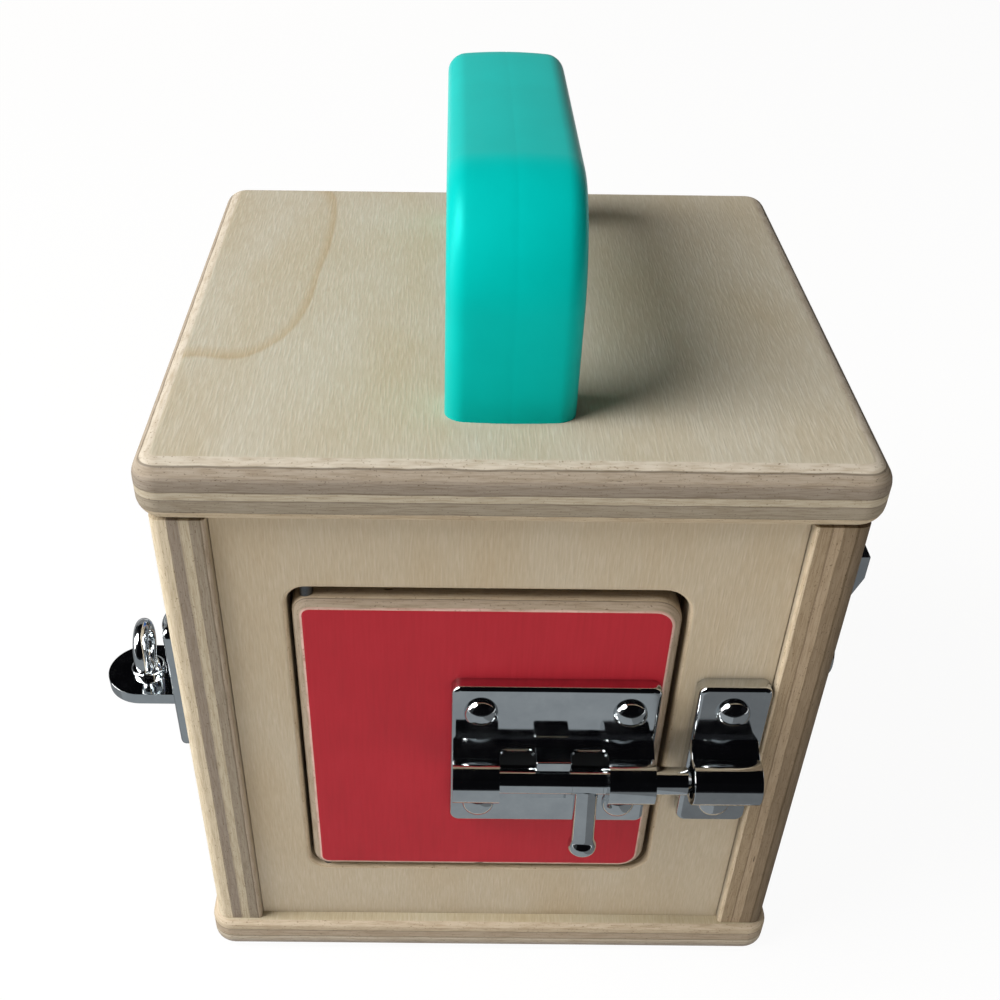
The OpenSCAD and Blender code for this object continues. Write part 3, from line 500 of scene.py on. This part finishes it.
def satin_paint(name, colour, dark, pale):
    """Satin paint on veneer: slight roller texture, and the wood's fibres faintly under it."""
    material, tree, shader = start_material(name, Roughness=0.5, IOR=1.35)
    coords = add(tree, "ShaderNodeTexCoord").outputs["Object"]
    # The fibres under the paint are too fine to show, so they are drawn 0.7 mm wide.
    fibres = add(tree, "ShaderNodeTexNoise", {
        "Vector": stretched(tree, coords, (0.7 * mm, 0.7 * mm, 11 * mm)), "Scale": 1.0, "Detail": 2.0})
    clouds = add(tree, "ShaderNodeTexNoise", {
        "Vector": stretched(tree, coords, [22 * mm] * 3), "Scale": 1.0, "Detail": 3.0})
    both = add(tree, "ShaderNodeMath", {0: fibres.outputs["Fac"], 1: clouds.outputs["Fac"]}, operation="ADD")
    half = add(tree, "ShaderNodeMath", {0: both.outputs[0], 1: 0.5}, operation="MULTIPLY")
    tone = add(tree, "ShaderNodeValToRGB", {"Fac": half.outputs[0]})
    set_ramp(tone, [(0.3, dark), (0.5, colour), (0.7, pale)])
    tree.links.new(tone.outputs[0], shader.inputs["Base Color"])
    stipple = add(tree, "ShaderNodeTexNoise", {
        "Vector": stretched(tree, coords, [0.7 * mm] * 3), "Scale": 1.0, "Detail": 2.0})
    bump = add(tree, "ShaderNodeBump", {
        "Height": stipple.outputs["Fac"], "Strength": 0.2, "Distance": 0.08 * mm})
    tree.links.new(bump.outputs[0], shader.inputs["Normal"])
    return material


paints = {"front": ("red", "#A81B2A", "#A01927", "#AD1F2E"),
          "left": ("blue", "#2C5A97", "#27528B", "#33629F"),
          "right": ("yellow", "#DDA431", "#D39A2A", "#E3AC3C"),
          "back": ("green", "#3B8757", "#357C4F", "#42905F")}
for side, (colour, middle, dark, pale) in paints.items():
    low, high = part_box(side + "_door")
    face_axis = Y if side in ("front", "back") else X
    paint = satin_paint("Satin %s paint" % colour, middle, dark, pale)
    rim = ply_edge("Bare ply rim of the %s door" % side, face_axis, low[face_axis], high[face_axis],
                   door_plies, rim_wander)
    bm = slab(low, high)
    across = X if face_axis == Y else Y
    lock = 1 if side == "front" else -1
    centre = (low + high) / 2
    for way, radius in ((lock, lock_round), (-lock, hinge_round)):
        corners = [e for e in along(bm, face_axis)
                   if (e.verts[0].co[across] - centre[across]) * way > core_reach]
        soften(bm, corners, radius, segments=8)
    soften(bm, rims(bm, face_axis), rim_round, segments=8)
    two_finishes(bm, face_axis)
    make_piece("%s_%s_door" % (side, colour), bm, [paint, rim], side + "_door", colour + "_painted_ply",
               side + "_door")

# Pivot pins and handle screws
# Plain steel pins, cut from drawn wire, on which the doors turn, and the screws that hold the handle
# from under the top board. All are left dull, and their grey is darkened with painted shade.

# The steel gives the eye an even grey with fine lines around each pin, darkened with painted shade
# as the pins sit in the doors' gaps. Real lines are too fine to show, so they are drawn 0.1 mm apart.
steel, tree, shader = start_material("Drawn steel", Metallic=1.0, Roughness=0.42)
coords = add(tree, "ShaderNodeTexCoord").outputs["Object"]
lines = add(tree, "ShaderNodeTexNoise", {
    "Vector": stretched(tree, coords, (0.4 * mm, 0.4 * mm, 0.1 * mm)), "Scale": 1.0, "Detail": 2.0})
tone = add(tree, "ShaderNodeValToRGB", {"Fac": lines.outputs["Fac"]})
set_ramp(tone, [(0.3, "#6A6C6E"), (0.7, "#7E8082")])
tree.links.new(tone.outputs[0], shader.inputs["Base Color"])
for node in ("front_door_pins", "left_door_pins", "right_door_pins", "back_door_pins", "handle_screws"):
    dress(node, steel)

# Barrel bolt
# A cast and chrome-plated bolt on the front door: a thick plate with two collars, a sloping shelf
# and a tab over the rod. The rod slides and its knob hangs down; domed screws hold the plate.
weld, coplanar, sharp_from = 0.002 * mm, math.radians(1), math.radians(40)
bevelled_crease = 25  # degrees
lathe_steps = 48
case_edge, tab_edge, plate_facing = 0.3 * mm, 0.5 * mm, 0.99
shade_strip_low, shade_strip_high = Vector((-0.2, -73.6, 74.6)) * mm, Vector((25.4, -73.2, 84.4)) * mm
tab_low, tab_high = Vector((8.2, -80.5, 81.8)) * mm, Vector((16.6, -75.2, 84.9)) * mm
screw_rows = (63.4 * mm, 94.2 * mm)
bolt_face, bolt_columns = -73.4 * mm, (-4.7 * mm, 29.9 * mm)
keeper_face, keeper_columns = -72.8 * mm, [53.8 * mm]
# The chrome gives the eye a clear mirror, a little uneven, with faint smears.
chrome, tree, shader = start_material("Chrome plate", Metallic=1.0)
coords = add(tree, "ShaderNodeTexCoord").outputs["Object"]
smears = add(tree, "ShaderNodeTexNoise", {
    "Vector": stretched(tree, coords, [6 * mm] * 3), "Scale": 1.0, "Detail": 4.0, "Roughness": 0.6})
tone = add(tree, "ShaderNodeValToRGB", {"Fac": smears.outputs["Fac"]})
set_ramp(tone, [(0.3, "#C9CDD0"), (0.7, "#D6DADC")])
tree.links.new(tone.outputs[0], shader.inputs["Base Color"])
gloss = add(tree, "ShaderNodeMapRange", {
    "Value": smears.outputs["Fac"], "From Min": 0.35, "From Max": 0.75, "To Min": 0.05, "To Max": 0.13})
tree.links.new(gloss.outputs[0], shader.inputs["Roughness"])
ripple = add(tree, "ShaderNodeTexNoise", {
    "Vector": stretched(tree, coords, [2.5 * mm] * 3), "Scale": 1.0, "Detail": 1.0})
bump = add(tree, "ShaderNodeBump", {"Height": ripple.outputs["Fac"], "Strength": 0.1, "Distance": 0.05 * mm})
tree.links.new(bump.outputs[0], shader.inputs["Normal"])

# The strip of plate behind the rod is given a dull near-black: painted shade where the rod and the collars
# keep the light and the reflections off the plate. Its grit is too fine to show, so it is drawn at 0.8 mm.
painted_shade_behind_rod, tree, shader = start_material("Painted shade on the plate behind the rod", Metallic=0.6)
coords = add(tree, "ShaderNodeTexCoord").outputs["Object"]
grit = add(tree, "ShaderNodeTexNoise", {
    "Vector": stretched(tree, coords, [0.8 * mm] * 3), "Scale": 1.0, "Detail": 2.0})
tone = add(tree, "ShaderNodeValToRGB", {"Fac": grit.outputs["Fac"]})
set_ramp(tone, [(0.3, "#0C0C0D"), (0.7, "#171718")])
tree.links.new(tone.outputs[0], shader.inputs["Base Color"])
dull = add(tree, "ShaderNodeMapRange", {
    "Value": grit.outputs["Fac"], "From Min": 0.3, "From Max": 0.7, "To Min": 0.4, "To Max": 0.55})
tree.links.new(dull.outputs[0], shader.inputs["Roughness"])


def merged_copy(node, edge):
    """A merged copy of a CAD fitting's mesh, with its outward edges broken by a width."""
    bm = bmesh.new()
    bm.from_mesh(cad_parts[node].data)
    bmesh.ops.remove_doubles(bm, verts=bm.verts, dist=weld)
    bmesh.ops.dissolve_limit(bm, angle_limit=coplanar, verts=bm.verts, edges=bm.edges)
    bm.normal_update()
    if edge:
        sharp = [e for e in bm.edges if e.is_convex and e.calc_face_angle(0.0) > sharp_from]
        soften(bm, sharp, edge, segments=3, clamp=True)
    return bm


def plated(node, name, body, edge=0):
    """A chrome-plated fitting made from a CAD node."""
    make_piece(name, merged_copy(node, edge), [chrome], body, "chrome", node,
               crease=bevelled_crease if edge else plain_crease)


def from_mm(profile):
    """A profile that is drawn in mm, in metres."""
    return [(radius * mm, distance * mm) for radius, distance in profile]


def lathe(bm, profile, centre, axis, across):
    """Turns a profile of (radius, distance) points about an axis."""
    corners = [bm.verts.new(centre + axis * distance + across * radius) for radius, distance in profile]
    sides = [bm.edges.new(pair) for pair in zip(corners, corners[1:])]
    bmesh.ops.spin(bm, geom=corners + sides, cent=centre, axis=axis, angle=2 * math.pi, steps=lathe_steps,
                   use_merge=True, use_duplicate=False)


bm = merged_copy("bolt_case", case_edge)
for axis in (X, Z):
    for place in (shade_strip_low[axis], shade_strip_high[axis]):
        bm.normal_update()
        front = [f for f in bm.faces if f.normal.y < -plate_facing]
        parts = set(front) | {e for f in front for e in f.edges} | {v for f in front for v in f.verts}
        cut_at(bm, list(parts), axis, place)
# The faces of the plate behind the rod take the painted shade.
bm.normal_update()
for face in bm.faces:
    middle = face.calc_center_median()
    if face.normal.y < -plate_facing and all(shade_strip_low[i] < middle[i] < shade_strip_high[i] for i in (X, Y, Z)):
        face.material_index = 1
tab = bmesh.ops.create_cube(bm, size=1.0)["verts"]
bmesh.ops.scale(bm, vec=tab_high - tab_low, verts=tab)
bmesh.ops.translate(bm, vec=(tab_low + tab_high) / 2, verts=tab)
soften(bm, list({e for v in tab for e in v.link_edges}), tab_edge, segments=3)
make_piece("bolt_plate_and_collars", bm, [chrome, painted_shade_behind_rod], "front_door", "chrome", "bolt_case",
           crease=bevelled_crease)


def domed_screws(node, name, body, face, columns):
    """Domed screws in two rows: each has a low rim under a flattened dome, and a plain shank."""
    head = [(0, -8), (1.4, -8), (1.5, -7.8), (1.5, 0), (4, 0), (4, 0.3), (3.95, 0.65), (3.82, 1.02),
            (3.58, 1.42), (3.2, 1.83), (2.7, 2.2), (2.1, 2.53), (1.4, 2.8), (0.7, 2.95), (0, 3)]
    bm = bmesh.new()
    for column in columns:
        for row in screw_rows:
            lathe(bm, from_mm(head), Vector((column, face, row)), Vector((0, -1, 0)), Vector((1, 0, 0)))
    close_up(bm)
    make_piece(name, bm, [chrome], body, "chrome", node)


domed_screws("bolt_screws", "bolt_domed_screws", "front_door", bolt_face, bolt_columns)
domed_screws("keeper_screws", "keeper_domed_screws", "box", keeper_face, keeper_columns)
rod_axis = Vector((20.6, -79.4, 78.1)) * mm
rod_radius, core_radius, hub_half, knob_lean = 3.35 * mm, 1.7 * mm, 3.65 * mm, math.radians(12)
plated("bolt_rod", "bolt_sliding_rod", "bolt_rod")
bm = bmesh.new()
lathe(bm, [(core_radius, -hub_half), (rod_radius, -hub_half), (rod_radius, hub_half), (core_radius, hub_half),
           (core_radius, -hub_half)], rod_axis, Vector((1, 0, 0)), Vector((0, 0, 1)))
stem = [(0, 2), (2.85, 2), (2.85, 16.4), (2.9, 16.9), (3, 17.35), (3.15, 17.75), (3.31, 18.15),
        (3.44, 18.55), (3.5, 18.95), (3.5, 19.4), (3.42, 19.9), (3.2, 20.45), (2.8, 20.9), (2.1, 21.25),
        (1.1, 21.45), (0, 21.5)]
lathe(bm, from_mm(stem), rod_axis,
      Vector((0, -math.sin(knob_lean), -math.cos(knob_lean))), Vector((1, 0, 0)))
close_up(bm)
make_piece("bolt_hanging_knob", bm, [chrome], "bolt_knob", "chrome", "bolt_knob")
plated("keeper", "bolt_keeper_strap", "box", edge=0.3 * mm)

# Hasp
# On the left wall: a plate with a tongue that carries a turning ring, and on the door a hinged
# leaf of bent sheet with a cross-shaped slot, made to fold over the tongue. All are chrome plated
# but the hinge's pin, which is plain steel.
plated("staple_plate", "staple_tongue_plate", "box", edge=0.3 * mm)
plated("staple_screws", "staple_domed_screws", "box")
low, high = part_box("swivel_ring")
ring_radius, wire_radius, ring_up, ring_lean = 5.3 * mm, 1.8 * mm, 7.4 * mm, math.radians(3)
wire_steps = 24
seat = Vector(((low.x + high.x) / 2, (low.y + high.y) / 2, high.z - ring_up - ring_radius - wire_radius))
bm = bmesh.new()
turns = [math.radians(360 * step / wire_steps) for step in range(wire_steps + 1)]
wire = [(ring_radius + wire_radius * math.cos(angle), wire_radius * math.sin(angle)) for angle in turns]
lathe(bm, wire, seat + Vector((0, 0, ring_up)),
      Vector((math.cos(ring_lean), math.sin(ring_lean), 0)), Vector((0, 0, 1)))
foot = [(0, -5.45), (1.6, -5.3), (2.8, -4.8), (3.7, -4), (4.2, -3.25), (3, -3.25), (3, 0.05),
        (4.2, 0.05), (4.2, 0.8), (4.1, 1.15), (3.85, 1.38), (3.5, 1.45), (0, 1.45)]
lathe(bm, from_mm(foot), seat, Vector((0, 0, 1)), Vector((1, 0, 0)))
close_up(bm)
make_piece("turning_ring", bm, [chrome], "swivel_ring", "chrome", "swivel_ring")
plated("hasp_base", "hasp_door_plate", "left_door", edge=0.15 * mm)
plated("hasp_screws", "hasp_domed_screws", "left_door")
plated("hasp_leaf", "hasp_slotted_leaf", "hasp_leaf", edge=0.2 * mm)
dress("hasp_pin", steel)

# Lever catch
# On the right wall: a pressed lever that turns on a headed pivot over a screwed plate, and holds
# the door when it is swung across the doorway's edge.
plated("lever_plate", "lever_wall_plate", "box")
plated("lever_screws", "lever_domed_screws", "box")
plated("lever_catch", "lever_turning_catch", "lever_catch", edge=0.3 * mm)
plated("lever_pivot", "lever_headed_pivot", "box")

# Turn button
# On the back panel: a cast button with a thumb ridge, which turns on a screw with a spacing washer
# and holds the back door.
plated("button_washer", "button_spacing_washer", "box", edge=0.2 * mm)
plated("turn_button", "back_turn_button", "turn_button", edge=0.4 * mm)
plated("button_screw", "button_pivot_screw", "box")

# Floor and light
# A pale plain floor under soft studio light: a large soft light from the left and above, a low one
# from the left, and weak ones from the front and behind. Cards that only reflections see give the
# chrome its dark and light bands.
floor_size, floor_glow = 4.0, 0.95


def seen_straight(tree):
    """One where the camera or a reflection looks, nought where only light falls."""
    rays = add(tree, "ShaderNodeLightPath")
    mirrored = add(tree, "ShaderNodeMath", {
        0: rays.outputs["Is Glossy Ray"], 1: rays.outputs["Is Transmission Ray"]}, operation="ADD")
    return add(tree, "ShaderNodeMath", {
        0: rays.outputs["Is Camera Ray"], 1: mirrored.outputs[0]}, operation="ADD", use_clamp=True).outputs[0]


# The paper gives the eye an even white floor that takes only a trace of shadow.
paper, tree, shader = start_material("White paper sweep", Roughness=0.9, Base_Color=linear("#F2F2F0"))
seen = add(tree, "ShaderNodeMath", {0: seen_straight(tree), 1: floor_glow}, operation="MULTIPLY")
white = add(tree, "ShaderNodeEmission", {"Color": linear("#FFFFFF"), "Strength": 1.0})
mixed = add(tree, "ShaderNodeMixShader", {0: seen.outputs[0], 1: shader.outputs[0], 2: white.outputs[0]})
output = [n for n in tree.nodes if n.bl_idname == "ShaderNodeOutputMaterial"][0]
tree.links.new(mixed.outputs[0], output.inputs["Surface"])
bm = bmesh.new()
bmesh.ops.create_grid(bm, x_segments=1, y_segments=1, size=floor_size)
floor = put_object("studio_floor", bm, [paper])
floor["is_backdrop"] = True

world = bpy.data.worlds.new("Studio")
bpy.context.scene.world = world
world.use_nodes = True
tree = world.node_tree
tree.nodes.clear()
room = add(tree, "ShaderNodeBackground", {"Color": linear("#FFF3E4"), "Strength": 0.1})
sweep = add(tree, "ShaderNodeBackground", {"Color": linear("#FFFFFF"), "Strength": 1.0})
mixed = add(tree, "ShaderNodeMixShader", {0: seen_straight(tree), 1: room.outputs[0], 2: sweep.outputs[0]})
add(tree, "ShaderNodeOutputWorld", {"Surface": mixed.outputs[0]})
aim = Vector((0, 0, 0.1))


def soft_light(name, place, size, power, colour, mirrored):
    """A round soft light that looks at the box."""
    lamp = bpy.data.lights.new(name, "AREA")
    lamp.energy, lamp.shape, lamp.size, lamp.color = power, "DISK", size, linear(colour)[:3]
    lit = bpy.data.objects.new(name, lamp)
    lit.location = place
    lit.visible_glossy = mirrored
    lit.rotation_euler = (aim - Vector(place)).to_track_quat("-Z", "Y").to_euler()
    bpy.context.scene.collection.objects.link(lit)


soft_light("Large soft light", (-0.8, -0.25, 0.95), size=0.75, power=19.3,
           colour="#FFFDFA", mirrored=True)
soft_light("Low left light", (-1.1, -0.15, 0.4), size=0.6, power=4.0,
           colour="#FFFDFA", mirrored=True)
soft_light("Floor bounce", (0.16, -0.44, 0.02), size=0.4, power=0.85,
           colour="#FFF8EE", mirrored=False)
soft_light("Rear fill", (-0.3, 1.2, 0.5), size=0.8, power=3.0,
           colour="#FFE6C8", mirrored=False)


def card(name, corner_low, corner_high, colour):
    """A flat card that only reflections see."""
    material, _, _ = start_material(name, "ShaderNodeEmission", Color=linear(colour), Strength=1.0)
    held = put_object(name, slab(Vector(corner_low), Vector(corner_high)), [material])
    held.visible_camera = held.visible_diffuse = held.visible_shadow = False
    held.visible_transmission = held.visible_volume_scatter = False
    held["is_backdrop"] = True


reach, top, thin = 1.6, 1.3, 0.01  # of the cards that stand around the box
near, far, half, split = -0.55, 0.6, 0.7, 0.06  # of the cards on the floor
front_line, side_line, sliver = -0.074, 0.078, 0.1 * mm
lying, lifted = 0.5 * mm, 1 * mm
card("near_floor_card", (-half, near, lying), (split, front_line, lifted), "#979C9F")
card("right_floor_card", (split + sliver, near, lying), (half, front_line, lifted), "#747779")
card("left_side_floor_card", (-half, front_line + sliver, lying), (-side_line, far, lifted), "#85888A")
card("right_side_floor_card", (side_line, front_line + sliver, lying), (half, far, lifted), "#5A5C5E")
card("far_floor_card", (-reach, -reach, lying), (reach, near - sliver, lifted), "#222325")
card("ceiling_card", (-reach, -reach, top), (reach, reach, top + thin), "#08080A")
card("front_card", (-reach, -reach - thin, 0), (reach, -reach, top), "#0B0B0D")
card("left_card", (-reach - thin, -reach, 0), (-reach, reach, top), "#3A3C3E")
card("back_card", (-reach, reach, 0), (reach, reach + thin, top), "#8A8A8A")
card("right_card", (reach, -reach, 0), (reach + thin, reach, top), "#141416")

# Camera
# Looks down on the front at the photograph's angle. The lens, its shift and the camera's place are
# those that fit the perspective of the box's edges.
camera = bpy.data.cameras.new("Photo view")
camera.sensor_width, camera.lens = 36.0, 44.186
camera.shift_x, camera.shift_y = 0.04916, 0.10
camera.clip_start, camera.clip_end = 0.01, 20
right = Vector((0.99993379, 0.00370968, 0.01089279))
down = Vector((0.01074312, -0.64013354, -0.76818854))
ahead = Vector((0.0041231, 0.7682547, -0.64013101))
place = (-13.172 * mm, -275.182 * mm, 296.171 * mm)
viewer = bpy.data.objects.new("Photo view", camera)
rows = [(right[axis], -down[axis], -ahead[axis], place[axis]) for axis in (X, Y, Z)]
viewer.matrix_world = Matrix(rows + [(0, 0, 0, 1)])
bpy.context.scene.collection.objects.link(viewer)
bpy.context.scene.camera = viewer
bpy.context.scene.view_settings.view_transform = "Standard"

low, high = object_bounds()
